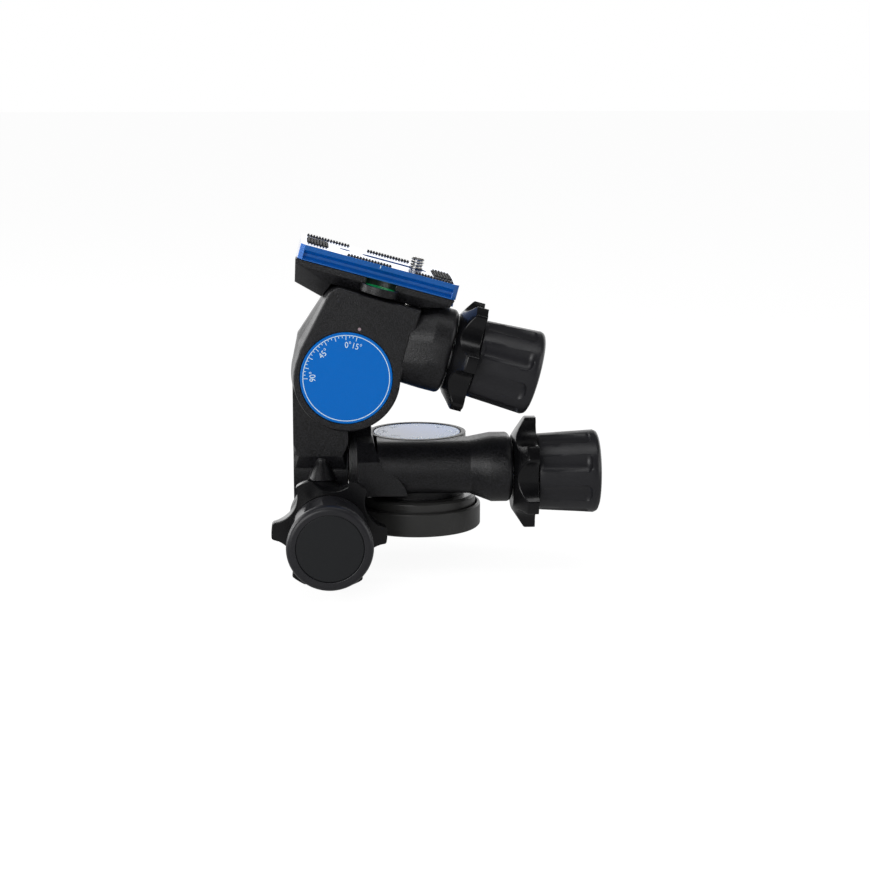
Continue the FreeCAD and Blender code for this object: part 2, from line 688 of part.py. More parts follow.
def clamp_rod(radius, spare):
    """Cylinder on the clamp screw's line, longer than the screw by spare at its inner end."""
    inner, outer = CLAMP_SCREW_Y
    return Part.makeCylinder(radius, outer - inner + spare, V(CLAMP_SCREW_U, CLAMP_SCREW_V, head_t(outer)),
                             V(0, 0, 1))


def clamp_screw_path():
    return clamp_rod(CLAMP_SCREW_R + 0.1, 1.0)


def moving_jaw():
    """Jaw on the far side, pulled in by the clamp screw."""
    face = DOVETAIL_HALF + PLATE_MID_Y + 0.08
    jaw = lengthwise([(face - 3.6, 38.6), (JAW_FAR, 38.6), (JAW_FAR, JAW_TOP), (face - 2.7, JAW_TOP),
                      (face, 42.7), (face, CHANNEL_FLOOR), (face - 3.6, CHANNEL_FLOOR)], -22.0, 26.0)
    lug = block((CLAMP_SCREW_U - 8, CLAMP_SCREW_U + 8), (31.0, 38.7), (head_t(JAW_FAR), head_t(2.4)))
    jaw = jaw.fuse(lug)
    return TILT.place(jaw.cut(clamp_screw_path()))


def clamp_screw():
    return TILT.place(clamp_rod(CLAMP_SCREW_R, 0.0))


def clamp_knob():
    """Fluted clamp knob on the far side."""
    start, end = JAW_FAR + 0.3, 20.0
    body = Part.makeCylinder(9.5, end - start, V(0, 0, 0), V(0, 0, 1))
    body = body.makeChamfer(1.0, [e for e in body.Edges if e.Length > 50])
    for k in range(12):
        angle = math.radians(30 * k)
        body = body.cut(Part.makeCylinder(1.4, end, V(10.2 * math.cos(angle), 10.2 * math.sin(angle), 2)))
    body.translate(V(CLAMP_SCREW_U, CLAMP_SCREW_V, head_t(end)))
    return TILT.place(body.cut(clamp_rod(CLAMP_SCREW_R, 0.0)))


def slot(u_span, half, low, high):
    ends = [upright(half, low, high, u, PLATE_MID_Y) for u in (u_span[0] + half, u_span[1] - half)]
    middle = block((u_span[0] + half, u_span[1] - half), (low, high),
                   (head_t(PLATE_MID_Y) - half, head_t(PLATE_MID_Y) + half))
    return fused(ends[0], ends[1], middle)


def camera_plate():
    """Dovetail plate with grooved long edges, a screw slot and a pin hole."""
    u0, u1 = PLATE_U
    near, far = PLATE_Y
    deck = block((u0, u1), (PLATE_LOW, PLATE_TOP), (head_t(far), head_t(near)))
    for edge, turn in ((near, 1), (far, -1)):
        groove = lengthwise([(edge - turn, PLATE_TOP - 2.2), (edge, PLATE_TOP - 2.2),
                             (edge + 2.2 * turn, PLATE_TOP - 3.8), (edge + 2.2 * turn, PLATE_LOW + 1.8),
                             (edge + 0.8 * turn, PLATE_LOW + 0.6), (edge - turn, PLATE_LOW + 0.6)],
                            u0 + 2.2, u1 - 2.2)
        deck = deck.cut(groove)
    for u, turn in ((u0, 1), (u1, -1)):
        for y, lean in ((near, 1), (far, -1)):
            corner = prism([(u, PLATE_LOW - 1, head_t(y)), (u + 2.0 * turn, PLATE_LOW - 1, head_t(y)),
                            (u, PLATE_LOW - 1, head_t(y + 2.0 * lean))], (0, 10, 0))
            deck = deck.cut(corner)
    rail = lengthwise(dovetail(), u0, u1)
    plate = deck.fuse(rail)
    plate = plate.cut(slot((SLOT_U[0] - 4.5, SLOT_U[1] + 4.5), POCKET_HALF, 40.0, 48.0))
    plate = plate.cut(slot(SLOT_U, SLOT_HALF, 40.0, 60.0))
    plate = plate.cut(upright(2.6, 40.0, 60.0, -14.0, PLATE_MID_Y))
    plate = plate.cut(rubber_pads())
    return TILT.place(plate.cut(stop_screws()))


def rounded_pad(u_span, y_span, corner):
    pad = block(u_span, (PAD_SEAT, PAD_TOP), (head_t(y_span[1]), head_t(y_span[0])))
    upright_edges = [e for e in pad.Edges if abs(e.Length - (PAD_TOP - PAD_SEAT)) < 1e-6
                     and e.BoundBox.XLength < 1e-6 and e.BoundBox.ZLength < 1e-6]
    return pad.makeFillet(corner, upright_edges)


def rubber_pads():
    """Two broad end pads and four long strips of ribbed rubber."""
    near, far = PLATE_Y
    pads = [rounded_pad((-31.8, -21.8), (-37.0, -11.0), 3.5), rounded_pad((26.5, 35.8), (-36.0, -10.0), 3.5)]
    for span in ((-13.5, 7.0), (17.5, 35.5)):
        pads.append(rounded_pad(span, (near + 1.6, near + 5.4), 1.5))
    for span in ((-32.0, -11.5), (-3.5, 17.0)):
        pads.append(rounded_pad(span, (far - 5.4, far - 1.6), 1.5))
    return Part.makeCompound(pads)


def stop_screws():
    """Small screws under the plate that keep it from sliding out of the clamp."""
    screws = []
    for u in (PLATE_U[0] + 4.0, PLATE_U[1] - 4.0):
        screws.append(upright(1.8, DOVETAIL_LOW, 43.4, u, PLATE_MID_Y).fuse(
            upright(1.0, DOVETAIL_LOW, 48.5, u, PLATE_MID_Y)))
    return Part.makeCompound(screws)


def screw_slider():
    """Follower in the plate's pocket that keeps the camera screw from falling out."""
    disc = upright(SLIDER_R, 46.6, 47.8, SCREW_U, PLATE_MID_Y)
    return TILT.place(disc.cut(upright(2.45, 40, 60, SCREW_U, PLATE_MID_Y)))


def camera_screw():
    """Quarter-inch screw with a slotted head and a narrow waist."""
    head = upright(6.8, 43.0, 46.5, SCREW_U, PLATE_MID_Y)
    waist = upright(2.35, 46.0, 53.0, SCREW_U, PLATE_MID_Y)
    thread = upright(THREAD_1_4_R, 52.7, 57.6, SCREW_U, PLATE_MID_Y)
    coin_slot = block((SCREW_U - 9, SCREW_U + 9), (42.0, 44.3), (head_t(PLATE_MID_Y) - 0.8,
                                                              head_t(PLATE_MID_Y) + 0.8))
    return TILT.place(fused(head, waist, thread).cut(coin_slot))


def index_dot():
    """Painted index on the tilt housing, just above the dial."""
    return cylinder(0.7, COVER_TOP - 0.4, COVER_TOP + 0.1, 0, 22.6)


# ---- Build -----------------------------------------------------------------------------

def build_units():
    for unit in UNITS:
        save(f"{unit.name}_eccentric_sleeve", unit.place(eccentric_sleeve()))
        save(f"{unit.name}_release_collar", unit.place(release_collar(unit.wing_turn)))
        save(f"{unit.name}_sleeve_bushes", unit.place(sleeve_bushes()))
        save(f"{unit.name}_release_spring", unit.place(release_spring()))
        save(f"{unit.name}_worm_shaft", unit.place(worm_shaft(), threaded=True))
        save(f"{unit.name}_knob", unit.place(knob()))
        save(f"{unit.name}_knob_cap", unit.place(knob_cap()))
        save(f"{unit.name}_worm_wheel", unit.place(worm_wheel(), threaded=True))
        save(f"{unit.name}_axle_nut", unit.place(axle_nut()))
        save(f"{unit.name}_axle_bush", unit.place(axle_bush()))
        save(f"{unit.name}_dial", unit.place(dial()))


def build_head():
    save("base_flange", base_flange())
    save("base_thread_insert", base_insert())
    save("pan_axle", pan_axle())
    save("pan_glide_washer", glide_washer())
    save("turntable_ring", turntable_ring())
    save("turntable_screws", turntable_screws())
    save("pan_housing", pan_housing())
    save("pan_cover", PAN.place(cover(HOUSING_R, 0.7)))
    save("roll_axle", ROLL.place(axle(ROLL_X - RISER_LEFT - 9.4)))
    save("roll_arm", roll_arm())
    save("roll_cover", ROLL.place(cover(21.4)))
    save("tilt_axle", TILT.place(axle(BACK - 15.0)))
    save("tilt_housing", tilt_housing())
    save("tilt_cover", tilt_cover())
    save("tilt_cover_screws", TILT.place(tilt_screws()))
    save("tilt_index_dot", TILT.place(index_dot()))


def build_clamp():
    save("clamp_bed", clamp_base())
    save("clamp_bed_screws", TILT.place(bed_screws()))
    save("level_vial", level_vial())
    save("clamp_jaw", moving_jaw())
    save("clamp_screw", clamp_screw())
    save("clamp_knob", clamp_knob())
    save("camera_plate", camera_plate())
    save("plate_rubber_pads", TILT.place(rubber_pads()))
    save("plate_stop_screws", TILT.place(stop_screws()))
    save("screw_slider", screw_slider())
    save("camera_screw", camera_screw())


os.makedirs("parts", exist_ok=True)
build_units()
build_head()
build_clamp()
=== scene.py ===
import json
import math

import bmesh
import bpy
from mathutils import Matrix, Vector

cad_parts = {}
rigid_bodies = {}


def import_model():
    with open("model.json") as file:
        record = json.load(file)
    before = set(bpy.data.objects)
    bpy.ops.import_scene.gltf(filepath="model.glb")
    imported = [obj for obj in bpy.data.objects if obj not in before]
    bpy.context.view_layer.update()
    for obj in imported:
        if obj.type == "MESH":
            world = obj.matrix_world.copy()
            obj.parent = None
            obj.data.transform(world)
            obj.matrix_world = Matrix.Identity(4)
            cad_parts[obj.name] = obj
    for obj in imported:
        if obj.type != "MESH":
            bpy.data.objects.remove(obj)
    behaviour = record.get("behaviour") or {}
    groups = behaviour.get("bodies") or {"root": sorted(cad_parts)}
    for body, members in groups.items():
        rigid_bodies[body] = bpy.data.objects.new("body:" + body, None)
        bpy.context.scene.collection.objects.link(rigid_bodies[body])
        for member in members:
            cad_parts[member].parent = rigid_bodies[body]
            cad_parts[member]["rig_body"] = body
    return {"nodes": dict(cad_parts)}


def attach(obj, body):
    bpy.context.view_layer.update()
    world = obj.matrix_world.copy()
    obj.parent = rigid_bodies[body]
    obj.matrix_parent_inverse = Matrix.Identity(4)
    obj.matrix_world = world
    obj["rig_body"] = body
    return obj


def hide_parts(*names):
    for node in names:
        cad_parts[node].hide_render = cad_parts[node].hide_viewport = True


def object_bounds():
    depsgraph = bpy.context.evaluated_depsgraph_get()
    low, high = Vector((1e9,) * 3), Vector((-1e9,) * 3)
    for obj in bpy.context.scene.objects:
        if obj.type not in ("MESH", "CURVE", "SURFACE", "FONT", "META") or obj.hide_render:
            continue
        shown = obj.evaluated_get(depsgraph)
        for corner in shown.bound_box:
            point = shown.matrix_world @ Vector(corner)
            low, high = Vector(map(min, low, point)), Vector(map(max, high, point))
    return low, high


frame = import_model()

bl_info = {
    "name": "Geared Tripod Head",
    "version": (1, 0, 0),
    "blender": (4, 5, 0),
    "location": "View3D > Sidebar > Geared Head",
    "description": "Dresses the geared tripod head: coated castings, moulded knobs, dials and "
                   "camera plate",
    "category": "Object",
}

CAD_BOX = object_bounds()
NODES = frame["nodes"]
SLOTS = {name: node.data.materials[0].name for name, node in NODES.items()}
MM = 0.001

# The middle of each gear unit's wheel, in metres.
PAN_CENTRE = Vector((0.0, 0.0, 0.029))
ROLL_CENTRE = Vector((-0.0418, 0.0, 0.0298))
TILT_CENTRE = Vector((-0.0337, -0.036, 0.0784))
REST_TILT = math.radians(15.4)
TILT_ALONG = Vector((math.cos(REST_TILT), 0.0, -math.sin(REST_TILT)))
TILT_UP = Vector((math.sin(REST_TILT), 0.0, math.cos(REST_TILT)))

# Printed marks stand on the dials' faces by their thickness.
DIAL_FACE = 15.4 * MM
PRINT_HEIGHT = 0.04 * MM
TICK_WIDTH = 0.28 * MM
NUMERAL_NARROWING = 0.88
NUMERAL_SHIFT = 0.9 * MM
LONG_TICK_STEP = 15
SHORT_TICK_STEP = 5

# Places in the plate's own frame: up through the plate, y to the far side, and along the plate.
PLATE_MID_Y = -23.0 * MM
PAD_SEAT = 53.0 * MM
CENTRE_MARK = (51.4 * MM, -48.0 * MM, 2.0 * MM)
LEVEL_RING = (42.6 * MM, -49.5 * MM, 4.1 * MM)

# Rubber pads: u from, u to, y from, y to and the corners' radius, in millimetres.
PADS = (
    (-31.8, -21.8, -37.0, -11.0, 3.5),
    (26.5, 35.8, -36.0, -10.0, 3.5),
    (-13.5, 7.0, -46.4, -42.6, 1.5),
    (17.5, 35.5, -46.4, -42.6, 1.5),
    (-32.0, -11.5, -3.4, 0.4, 1.5),
    (-3.5, 17.0, -3.4, 0.4, 1.5),
)
PAD_THICKNESS = 0.9 * MM
PAD_DEPTH = 1.05 * MM
RIB_WIDTH = 0.8 * MM
RIB_HEIGHT = 0.6 * MM

# Camera screw: radii of its thread and its tip, its place along the plate, the heights where the
# thread ends, the steps in a turn, and the height where the plain shank is cut off.
SCREW_MAJOR = 3.175 * MM
SCREW_ROOT = 2.4 * MM
SCREW_TIP = 2.45 * MM
SCREW_U = 19.0 * MM
THREAD_LOW = 52.7 * MM
THREAD_TOP = 57.6 * MM
THREAD_STEPS = 32
SHANK_CUT = 52.9 * MM
SCREW_MERGE_DISTANCE = 0.001 * MM

# A CAD mesh is merged and its flat faces are joined before its edges are rounded.
MERGE_DISTANCE = 0.02 * MM
JOINED_ANGLE = math.radians(0.05)
SHARP_ANGLE = math.radians(30)
CRISP_ANGLE = math.radians(38)
FOLD_AREA = 0.01 * MM * MM
ROUNDING_TRIES = 3

# Size of the broad patches over which a finish's gloss varies.
BROAD_PATCH = 14 * MM


# ---- Colours and materials --------------------------------------------------------------

def linear(hexcode):
    """Linear RGBA of an sRGB hex value."""
    parts = [int(hexcode[i:i + 2], 16) / 255 for i in (0, 2, 4)]
    return (*(p / 12.92 if p <= 0.04045 else ((p + 0.055) / 1.055) ** 2.4 for p in parts), 1.0)


def add(tree, kind, inputs=None, **settings):
    """Adds a node with its settings. An input is a value, or another node's output to link."""
    node = tree.nodes.new(kind)
    for key, value in settings.items():
        setattr(node, key, value)
    for key, value in (inputs or {}).items():
        if isinstance(value, bpy.types.NodeSocket):
            tree.links.new(value, node.inputs[key])
        else:
            node.inputs[key].default_value = value
    return node


def started(name):
    """A new material with its node tree, its output node and object coordinates."""
    material = bpy.data.materials.new(name)
    material.use_nodes = True
    tree = material.node_tree
    tree.nodes.clear()
    output = add(tree, "ShaderNodeOutputMaterial")
    place = add(tree, "ShaderNodeTexCoord").outputs["Object"]
    return material, tree, output, place


def finished(name, colour, roughness, spread, grain, depth, sockets,
             stretch=(1, 1, 1), cloud=0.15):
    """A surface of one colour whose relief, gloss and shade vary.

    grain is the relief's size and depth its height, both in millimetres. spread is how far the
    roughness varies and cloud how far the shade does. stretch squeezes the relief along an axis.
    sockets holds the rest of the surface's settings.
    """
    material, tree, output, place = started(name)
    place = add(tree, "ShaderNodeMapping", {"Vector": place, "Scale": stretch}).outputs["Vector"]
    relief = add(tree, "ShaderNodeTexNoise", {
        "Vector": place, "Scale": 1 / (grain * MM), "Detail": 3.0, "Roughness": 0.55})
    broad = add(tree, "ShaderNodeTexNoise", {
        "Vector": place, "Scale": 1 / BROAD_PATCH, "Detail": 4.0, "Roughness": 0.6})
    gloss = add(tree, "ShaderNodeMapRange", {
        "Value": broad.outputs["Fac"], "From Min": 0.3, "From Max": 0.7,
        "To Min": roughness - spread, "To Max": roughness + spread})
    shade = add(tree, "ShaderNodeMapRange", {
        "Value": relief.outputs["Fac"], "From Min": 0.4, "From Max": 0.6,
        "To Min": 1 - cloud, "To Max": 1 + cloud})
    tinted = add(tree, "ShaderNodeMix", {
        "Factor": 1.0, "A": colour, "B": shade.outputs["Result"]},
        data_type="RGBA", blend_type="MULTIPLY")
    bump = add(tree, "ShaderNodeBump", {
        "Height": relief.outputs["Fac"], "Strength": 1.0, "Distance": depth * MM})
    surface = add(tree, "ShaderNodeBsdfPrincipled", {
        "Base Color": tinted.outputs["Result"], "Roughness": gloss.outputs["Result"],
        "Normal": bump.outputs["Normal"], **sockets})
    tree.links.new(surface.outputs["BSDF"], output.inputs["Surface"])
    return material


def make_finishes(colours):
    """The finishes, by the record's slots and one more for the index dot.

    Powder grain, tool marks and blasting are too fine to show, so they are drawn as coarse as they
    need to show.
    """
    return {
        # Cast aluminium under a baked powder coat: a fine sandy skin that breaks highlights up.
        "black_casting": finished(
            "powder_coated_cast_aluminium", colours.casting, 0.34, 0.05, 0.55, 0.17,
            {"Specular IOR Level": 0.5}, cloud=1.0),
        # Foot, turned from bar and anodised black: dark grey, with fine marks round it.
        "base_black": finished(
            "black_anodised_turned_aluminium", colours.foot, 0.36, 0.04, 0.5, 0.02,
            {"Specular IOR Level": 0.5}, stretch=(1, 1, 6)),
        # Turntable ring, turned at a finer feed and anodised black: a little shinier than the foot.
        "turned_aluminium": finished(
            "black_anodised_ring", colours.foot, 0.3, 0.05, 0.4, 0.012,
            {"Specular IOR Level": 0.6}, stretch=(1, 1, 8)),
        # Turned stainless steel, bright with soft tool marks.
        "steel": finished(
            "turned_stainless_steel", linear("C3C2BF"), 0.27, 0.06, 0.5, 0.01,
            {"Metallic": 1.0}, stretch=(1, 1, 5)),
        # Drawn spring wire, a little duller than the turned steel.
        "spring_steel": finished(
            "drawn_spring_steel", linear("8E8E90"), 0.36, 0.05, 0.4, 0.01,
            {"Metallic": 1.0}),
        # Bearing bronze, machined and lightly oiled.
        "bronze": finished(
            "machined_bearing_bronze", linear("B08446"), 0.34, 0.06, 0.6, 0.012,
            {"Metallic": 1.0}),
        # Moulded nylon: waxy and slightly translucent.
        "nylon": finished(
            "moulded_nylon", linear("E4E1D8"), 0.5, 0.05, 0.9, 0.01,
            {"Subsurface Weight": 0.1, "Subsurface Radius": (0.0008, 0.0007, 0.0006)}),
        # Green spirit under a moulded clear acrylic lens. Its emission is a painted glow that
        # brightens the spirit where the plate shades it, though it is no lamp.
        "vial_green": finished(
            "green_spirit_in_acrylic", colours.vial, 0.12, 0.02, 3.0, 0.002,
            {"Coat Weight": 1.0, "Coat Roughness": 0.04, "Emission Color": colours.vial,
             "Emission Strength": 0.5}, cloud=0.08),
        # Glass-filled nylon moulded in a finely blasted tool: dark, with a soft satin shine.
        "knob_black": finished(
            "moulded_glass_filled_nylon", colours.knob, 0.36, 0.05, 0.5, 0.02,
            {"Specular IOR Level": 0.5}, cloud=0.12),
        # End disc of the same nylon, moulded in a coarser blasted tool: matt.
        "cap_black": finished(
            "matt_moulded_nylon_disc", colours.cap, 0.5, 0.04, 0.45, 0.015,
            {"Specular IOR Level": 0.4}, cloud=0.08),
        # Collar of the same nylon, moulded in a polished tool: darker and shinier.
        "collar_black": finished(
            "polished_moulded_nylon", colours.collar, 0.24, 0.04, 1.2, 0.006,
            {"Specular IOR Level": 0.4}, cloud=0.08),
        # Screen-printed white ink: flat and even, under a thin gloss.
        "white_paint": finished(
            "white_screen_ink", colours.ink, 0.34, 0.03, 0.5, 0.003,
            {"Specular IOR Level": 0.0, "Coat Weight": 1.0, "Coat Roughness": 0.1}, cloud=0.03),
        # The same ink rubbed thin and greyed, on the index dot.
        "index_dot": finished(
            "worn_screen_ink", colours.dot, 0.5, 0.04, 0.5, 0.003,
            {"Specular IOR Level": 0.5}, cloud=0.1),
        # Aluminium, milled along its length and anodised blue: a deep colour under a clear shine.
        "plate_blue": finished(
            "blue_anodised_milled_aluminium", colours.plate, 0.24, 0.05, 0.6, 0.005,
            {"Metallic": 0.35, "Coat Weight": 1.0, "Coat Roughness": 0.12},
            stretch=(0.25, 1, 1), cloud=0.06),
        # Blue ink under a satin film on the dial plate.
        "dial_blue": finished(
            "blue_printed_film", colours.dial, 0.34, 0.03, 0.5, 0.002,
            {"Specular IOR Level": 0.0, "Coat Weight": 1.0, "Coat Roughness": 0.1,
             "Coat IOR": 1.35}, cloud=0.02),
        # Turned sleeve, clear anodised: pale grey and satin.
        "sleeve_aluminium": finished(
            "clear_anodised_aluminium", linear("CFD0D2"), 0.34, 0.05, 0.5, 0.01,
            {"Metallic": 1.0}),
        # Moulded nitrile rubber, dull and slightly dusty.
        "pad_rubber": finished(
            "moulded_nitrile_rubber", colours.pad, 0.75, 0.06, 0.4, 0.02,
            {"Sheen Weight": 0.15, "Sheen Roughness": 0.5, "Specular IOR Level": 0.35},
            cloud=0.2),
    }


# Filled by the first operator.
FINISHES = {}


# ---- Mesh helpers ----------------------------------------------------------------------

def piece(name, bm, body, slot, *replaced):
    """Makes a piece of a bmesh, gives it its finish and sets it to ride on its body."""
    mesh = bpy.data.meshes.new(name)
    bm.to_mesh(mesh)
    bm.free()
    mesh.materials.clear()
    mesh.materials.append(FINISHES[slot])
    obj = bpy.data.objects.new(name, mesh)
    bpy.context.scene.collection.objects.link(obj)
    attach(obj, body)
    if replaced:
        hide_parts(*replaced)
    return obj


def smooth(obj):
    """Smooth faces that stay crisp at the sharper edges, with flat faces kept flat."""
    for polygon in obj.data.polygons:
        polygon.use_smooth = True
    obj.data.set_sharp_from_angle(angle=CRISP_ANGLE)
    weighted = obj.modifiers.new("even_shading", "WEIGHTED_NORMAL")
    weighted.mode = "FACE_AREA_WITH_ANGLE"
    weighted.keep_sharp = True
    weighted.weight = 50


def kept_inside(bm, points):
    """Holds a mesh within the box round some points, so that no rounding reaches past it."""
    low, high = (Vector(pick(p[i] for p in points) for i in range(3)) for pick in (min, max))
    for vert in bm.verts:
        vert.co = Vector(min(max(value, a), b) for value, a, b in zip(vert.co, low, high))


def folded_spots(bm):
    """Corners of the places where a rounding has turned part of a face over."""
    bm.normal_update()
    spots = []
    for loops in bm.calc_loop_triangles():
        a, b, c = (loop.vert.co for loop in loops)
        across = (b - a).cross(c - a)
        turned = across.normalized().dot(loops[0].face.normal) < 0
        if turned and across.length / 2 > FOLD_AREA:
            spots += [a.copy(), b.copy(), c.copy()]
    return spots


def rounded(node, width, segments, spots):
    """A copy of a CAD node's mesh with its sharp edges rounded, except close to some spots."""
    bm = bmesh.new()
    bm.from_mesh(NODES[node].data)
    bmesh.ops.remove_doubles(bm, verts=bm.verts, dist=MERGE_DISTANCE)
    bmesh.ops.dissolve_limit(bm, angle_limit=JOINED_ANGLE, verts=bm.verts, edges=bm.edges)
    reach = 3 * width
    kept = {v for v in bm.verts if any((v.co - spot).length < reach for spot in spots)}
    edges = [e for e in bm.edges if e.is_manifold and e.calc_face_angle(0.0) > SHARP_ANGLE
             and not kept.intersection(e.verts)]
    bmesh.ops.bevel(bm, geom=edges, offset=width, offset_type="OFFSET", segments=segments,
                    profile=0.5, affect="EDGES", clamp_overlap=False, material=-1)
    return bm


def softened(node, width, segments=2):
    """Stands for a CAD node, with its sharp edges rounded where there is room for it."""
    spots = []
    bm = rounded(node, width, segments, spots)
    for _ in range(ROUNDING_TRIES):
        folded = folded_spots(bm)
        if not folded:
            break
        spots += folded
        bm.free()
        bm = rounded(node, width, segments, spots)
    kept_inside(bm, [vert.co for vert in NODES[node].data.vertices])
    obj = piece(f"{node}_finished", bm, NODES[node]["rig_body"], SLOTS[node], node)
    # The normals that the CAD mesh carries don't fit the rounded one.
    obj.data.attributes.remove(obj.data.attributes["custom_normal"])
    smooth(obj)


# ---- Settings --------------------------------------------------------------------------

def length(name, description, default):
    """A size in the panel, in metres."""
    return bpy.props.FloatProperty(name=name, description=description, default=default,
                                   min=0.0, unit="LENGTH", precision=5)


def colour(name, description, hexcode):
    """A colour in the panel, from its sRGB hex value."""
    return bpy.props.FloatVectorProperty(name=name, description=description, size=4,
                                         default=linear(hexcode), subtype="COLOR", min=0.0, max=1.0)


class HeadSizes(bpy.types.PropertyGroup):
    """Sizes of the fine detail"""
    casting_edge: length("Casting edge", "Rounding of the castings' edges", 0.25 * MM)
    moulded_edge: length("Moulded edge", "Rounding of the knobs' and collars' edges", 0.5 * MM)
    milled_edge: length("Milled edge", "Break on the camera plate's edges", 0.09 * MM)
    ring_radius: length("Scale ring", "Radius of the white ring on a dial", 19.2 * MM)
    ring_width: length("Ring width", "Width of the white ring", 0.34 * MM)
    long_tick: length("Long mark", "Length of the mark at each 15 degrees", 2.1 * MM)
    short_tick: length("Short mark", "Length of the mark at each 5 degrees", 1.1 * MM)
    numeral_radius: length("Numeral radius", "Distance of the numerals from the middle", 14.8 * MM)
    numeral_height: length("Numeral size", "Type size of the numerals", 3.8 * MM)
    rib_pitch: length("Rib pitch", "Spacing of the ribs on the rubber pads", 1.35 * MM)
    thread_pitch: length("Thread pitch", "Pitch of the quarter-inch camera screw", 1.27 * MM)


class HeadColours(bpy.types.PropertyGroup):
    """Colours of the finishes"""
    casting: colour("Castings", "Powder coat of the castings", "131316")
    foot: colour("Foot", "Foot and turntable ring", "353534")
    knob: colour("Knobs", "Moulded knobs", "1E1E22")
    cap: colour("Knob discs", "Discs in the knobs' ends", "15171A")
    collar: colour("Collars", "Release collars", "0E0E10")
    dial: colour("Dials", "Film on the dials", "006DCB")
    plate: colour("Camera plate", "Dye of the camera plate", "0065BE")
    vial: colour("Spirit level", "Spirit in the level", "00B060")
    ink: colour("Ink", "Printed marks", "DCF3FF")
    dot: colour("Index dot", "Dot above the tilt dial", "A08A92")
    pad: colour("Pads", "Rubber pads", "2B2A2D")


# ---- Operators -------------------------------------------------------------------------

class HEAD_OT_finishes(bpy.types.Operator):
    """Makes the finishes and gives them to the CAD pieces"""
    bl_idname = "head.finishes"
    bl_label = "Finishes"

    def execute(self, context):
        FINISHES.update(make_finishes(context.scene.head_colours))
        for node in NODES.values():
            node.data.materials[0] = FINISHES[SLOTS[node.name]]
        NODES["tilt_index_dot"].data.materials[0] = FINISHES["index_dot"]
        return {"FINISHED"}


class HEAD_OT_castings(bpy.types.Operator):
    """Rounds the edges of the cast and turned pieces"""
    bl_idname = "head.castings"
    bl_label = "Castings"

    def execute(self, context):
        sizes = context.scene.head_sizes
        for node in ("base_flange", "turntable_ring", "pan_housing", "pan_cover", "roll_arm",
                     "roll_cover", "tilt_housing", "tilt_cover", "clamp_bed", "clamp_jaw"):
            softened(node, sizes.casting_edge)
        return {"FINISHED"}


class HEAD_OT_knobs(bpy.types.Operator):
    """Rounds the edges of the knobs, their discs and the collars"""
    bl_idname = "head.knobs"
    bl_label = "Knobs and collars"

    def execute(self, context):
        sizes = context.scene.head_sizes
        for unit in ("pan", "roll", "tilt"):
            for part in ("knob", "knob_cap", "release_collar"):
                softened(f"{unit}_{part}", sizes.moulded_edge)
        softened("clamp_knob", sizes.moulded_edge)
        return {"FINISHED"}


def dial_face(centre, right, up, out):
    """Matrix that sets a flat drawing down on a dial's face."""
    matrix = Matrix((right, up, out)).transposed().to_4x4()
    matrix.translation = centre + out * DIAL_FACE
    return matrix


def ring_mesh(bm, radius, width):
    """Flat printed ring of rectangular section, spun round Z."""
    inner, outer = radius - width / 2, radius + width / 2
    corners = [bm.verts.new((r, 0.0, z)) for r, z in (
        (inner, 0.0), (outer, 0.0), (outer, PRINT_HEIGHT), (inner, PRINT_HEIGHT))]
    edges = [bm.edges.new((corners[i], corners[(i + 1) % 4])) for i in range(4)]
    bmesh.ops.spin(bm, geom=corners + edges, cent=(0, 0, 0), axis=(0, 0, 1), angle=math.tau,
                   steps=96, use_merge=True, use_duplicate=False)


def bar(bm, size, matrix):
    """Rectangular bar of the given size, set down by a matrix."""
    made = bmesh.ops.create_cube(bm, size=1.0)
    bmesh.ops.scale(bm, vec=size, verts=made["verts"])
    bmesh.ops.transform(bm, matrix=matrix, verts=made["verts"])
    return made["verts"]


def numeral(bm, text, size, matrix):
    """A number in relief, set down by a matrix."""
    curve = bpy.data.curves.new("numeral", "FONT")
    curve.body = text
    curve.size = size
    curve.align_x = "CENTER"
    curve.align_y = "CENTER"
    curve.extrude = PRINT_HEIGHT / 2
    holder = bpy.data.objects.new("numeral", curve)
    mesh = bpy.data.meshes.new_from_object(holder)
    mesh.transform(matrix @ Matrix.Diagonal((NUMERAL_NARROWING, 1.0, 1.0, 1.0)))
    bm.from_mesh(mesh)
    bpy.data.objects.remove(holder)
    bpy.data.curves.remove(curve)
    bpy.data.meshes.remove(mesh)


def dial_scale(name, body, matrix, marks, numbers, sizes):
    """White ring, marks and numbers printed on a dial."""
    bm = bmesh.new()
    ring_mesh(bm, sizes.ring_radius, sizes.ring_width)
    for degrees in marks:
        long = sizes.short_tick if degrees % LONG_TICK_STEP else sizes.long_tick
        turn = Matrix.Rotation(math.radians(degrees), 4, "Z")
        shift = Matrix.Translation((0.0, sizes.ring_radius - long / 2, PRINT_HEIGHT / 2))
        bar(bm, (TICK_WIDTH, long, PRINT_HEIGHT), turn @ shift)
    for degrees, text in numbers:
        turn = Matrix.Rotation(math.radians(degrees), 4, "Z")
        shift = Matrix.Translation((NUMERAL_SHIFT, sizes.numeral_radius, PRINT_HEIGHT / 2))
        numeral(bm, text, sizes.numeral_height, turn @ shift)
    bmesh.ops.recalc_face_normals(bm, faces=bm.faces)
    bmesh.ops.transform(bm, matrix=matrix, verts=bm.verts)
    piece(name, bm, body, "white_paint")


